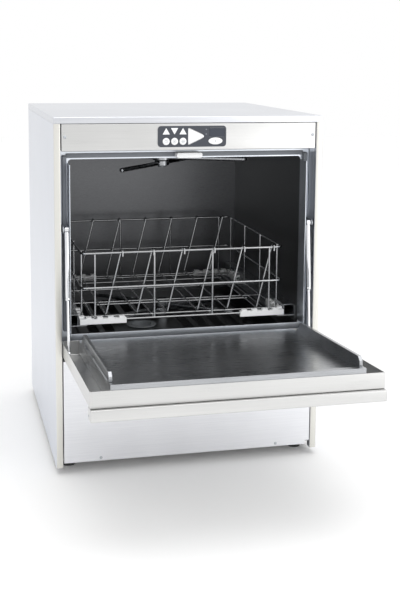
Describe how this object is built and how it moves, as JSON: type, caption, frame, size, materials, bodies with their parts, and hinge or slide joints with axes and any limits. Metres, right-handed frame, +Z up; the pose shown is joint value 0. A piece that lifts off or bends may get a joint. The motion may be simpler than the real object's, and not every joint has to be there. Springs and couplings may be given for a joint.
{
  "type": "undercounter glass washer",
  "caption": "Undercounter commercial glass and tray washer with a stainless cabinet, drop-down door on gas struts, wire rack on rails, spray arms and a front control strip.",
  "frame": {"origin": "on the floor, at the middle of the footprint of the whole machine with its door open", "axes": "+X to the machine's right, +Y from the front to the back, +Z up"},
  "size_m": [0.6, 1.0486, 0.785],
  "materials": {
    "brushed_stainless": "brushed",
    "inner_stainless": "satin",
    "polished_steel": "polished",
    "white_plastic": "satin",
    "grey_plastic": "satin",
    "black_plastic": "matte",
    "slate_overlay": "satin",
    "rubber_seal": "matte",
    "board": "satin",
    "window": "gloss"
  },
  "bodies": {
    "cabinet": {"top_panel": "brushed_stainless", "side_panel_left": "brushed_stainless", "side_panel_right": "brushed_stainless", "rear_panel": "brushed_stainless", "base_frame": "inner_stainless", "lower_front_panel": "brushed_stainless", "control_fascia": "brushed_stainless", "control_overlay": "slate_overlay", "display_window": "window", "control_board": "board", "wash_tank": "inner_stainless", "door_seal": "rubber_seal", "rack_guide_left": "inner_stainless", "rack_guide_right": "inner_stainless", "tank_filter": "inner_stainless", "sump_strainer": "grey_plastic", "overflow_pipe": "white_plastic", "tank_heater": "inner_stainless", "lower_post": "grey_plastic", "upper_post": "grey_plastic", "wash_pump": "grey_plastic", "supply_pipe": "black_plastic", "drain_pump": "black_plastic", "rinse_boiler": "inner_stainless", "detergent_pump": "grey_plastic", "rinse_aid_pump": "grey_plastic", "inlet_valve": "white_plastic", "cable_gland": "black_plastic", "foot_front_left": "black_plastic", "foot_front_right": "black_plastic", "foot_rear_left": "black_plastic", "foot_rear_right": "black_plastic", "hinge_left": "polished_steel", "hinge_right": "polished_steel", "strut_mount_left": "polished_steel", "strut_mount_right": "polished_steel"},
    "door": {"door_outer_panel": "brushed_stainless", "door_inner_panel": "inner_stainless", "door_handle": "brushed_stainless"},
    "strut_tube_left": {"strut_tube_left": "polished_steel"},
    "strut_tube_right": {"strut_tube_right": "polished_steel"},
    "strut_rod_left": {"strut_rod_left": "polished_steel"},
    "strut_rod_right": {"strut_rod_right": "polished_steel"},
    "rack": {"rack_basket": "polished_steel", "rack_shoe_front_left": "white_plastic", "rack_shoe_front_right": "white_plastic", "rack_shoe_rear_right": "white_plastic", "rack_shoe_rear_left": "white_plastic", "tray_dividers": "polished_steel"},
    "lower_wash_arm": {"lower_wash_arm": "inner_stainless"},
    "lower_rinse_arm": {"lower_rinse_arm": "inner_stainless"},
    "upper_wash_arm": {"upper_wash_arm": "inner_stainless"},
    "upper_rinse_arm": {"upper_rinse_arm": "inner_stainless"},
    "door_catch": {"door_catch": "white_plastic"},
    "program_key_1": {"program_key_1": "white_plastic"},
    "program_key_2": {"program_key_2": "white_plastic"},
    "program_key_3": {"program_key_3": "white_plastic"},
    "start_key": {"start_key": "white_plastic"},
    "power_key": {"power_key": "white_plastic"}
  },
  "joints": [
    {"name": "door_hinge", "type": "hinge", "parent": "cabinet", "child": "door", "pos_m": [0, -0.08173, 0.277], "axis": [1, 0, 0], "range_deg": [-86.8, 0]},
    {"name": "strut_swing_left", "type": "hinge", "parent": "cabinet", "child": "strut_tube_left", "pos_m": [-0.2729, -0.08573, 0.543], "axis": [1, 0, 0], "range_deg": [-0.2, 6.01]},
    {"name": "strut_slide_left", "type": "slide", "parent": "strut_tube_left", "child": "strut_rod_left", "axis": [0, -0.0935, -0.9956], "range_m": [-0.0322, 0.0005]},
    {"name": "strut_swing_right", "type": "hinge", "parent": "cabinet", "child": "strut_tube_right", "pos_m": [0.2729, -0.08573, 0.543], "axis": [1, 0, 0], "range_deg": [-0.2, 6.01]},
    {"name": "strut_slide_right", "type": "slide", "parent": "strut_tube_right", "child": "strut_rod_right", "axis": [0, -0.0935, -0.9956], "range_m": [-0.0322, 0.0005]},
    {"name": "rack_slide", "type": "slide", "parent": "cabinet", "child": "rack", "axis": [0, -1, 0], "range_m": [0, 0.425]},
    {"name": "lower_wash_arm_spin", "type": "hinge", "parent": "cabinet", "child": "lower_wash_arm", "pos_m": [0, 0.22552, 0.3], "axis": [0, 0, 1], "continuous": true},
    {"name": "lower_rinse_arm_spin", "type": "hinge", "parent": "cabinet", "child": "lower_rinse_arm", "pos_m": [0, 0.22552, 0.3], "axis": [0, 0, 1], "continuous": true},
    {"name": "upper_wash_arm_spin", "type": "hinge", "parent": "cabinet", "child": "upper_wash_arm", "pos_m": [0, 0.22552, 0.66], "axis": [0, 0, 1], "continuous": true},
    {"name": "upper_rinse_arm_spin", "type": "hinge", "parent": "cabinet", "child": "upper_rinse_arm", "pos_m": [0, 0.22552, 0.66], "axis": [0, 0, 1], "continuous": true},
    {"name": "catch_lift", "type": "slide", "parent": "cabinet", "child": "door_catch", "axis": [0, 0, 1], "range_m": [0, 0.001], "stiffness_N_per_m": 3000},
    {"name": "program_key_1_press", "type": "slide", "parent": "cabinet", "child": "program_key_1", "axis": [0, 1, 0], "range_m": [0, 0.0006], "stiffness_N_per_m": 1200},
    {"name": "program_key_2_press", "type": "slide", "parent": "cabinet", "child": "program_key_2", "axis": [0, 1, 0], "range_m": [0, 0.0006], "stiffness_N_per_m": 1200},
    {"name": "program_key_3_press", "type": "slide", "parent": "cabinet", "child": "program_key_3", "axis": [0, 1, 0], "range_m": [0, 0.0006], "stiffness_N_per_m": 1200},
    {"name": "start_key_press", "type": "slide", "parent": "cabinet", "child": "start_key", "axis": [0, 1, 0], "range_m": [0, 0.0006], "stiffness_N_per_m": 1200},
    {"name": "power_key_press", "type": "slide", "parent": "cabinet", "child": "power_key", "axis": [0, 1, 0], "range_m": [0, 0.0006], "stiffness_N_per_m": 1200}
  ],
  "couplings": [
    {"joint": "strut_swing_left", "follows": "door_hinge", "ratio": -0.064625},
    {"joint": "strut_slide_left", "follows": "door_hinge", "m_per_rad": 0.020827},
    {"joint": "strut_swing_right", "follows": "door_hinge", "ratio": -0.064625},
    {"joint": "strut_slide_right", "follows": "door_hinge", "m_per_rad": 0.020827}
  ]
}
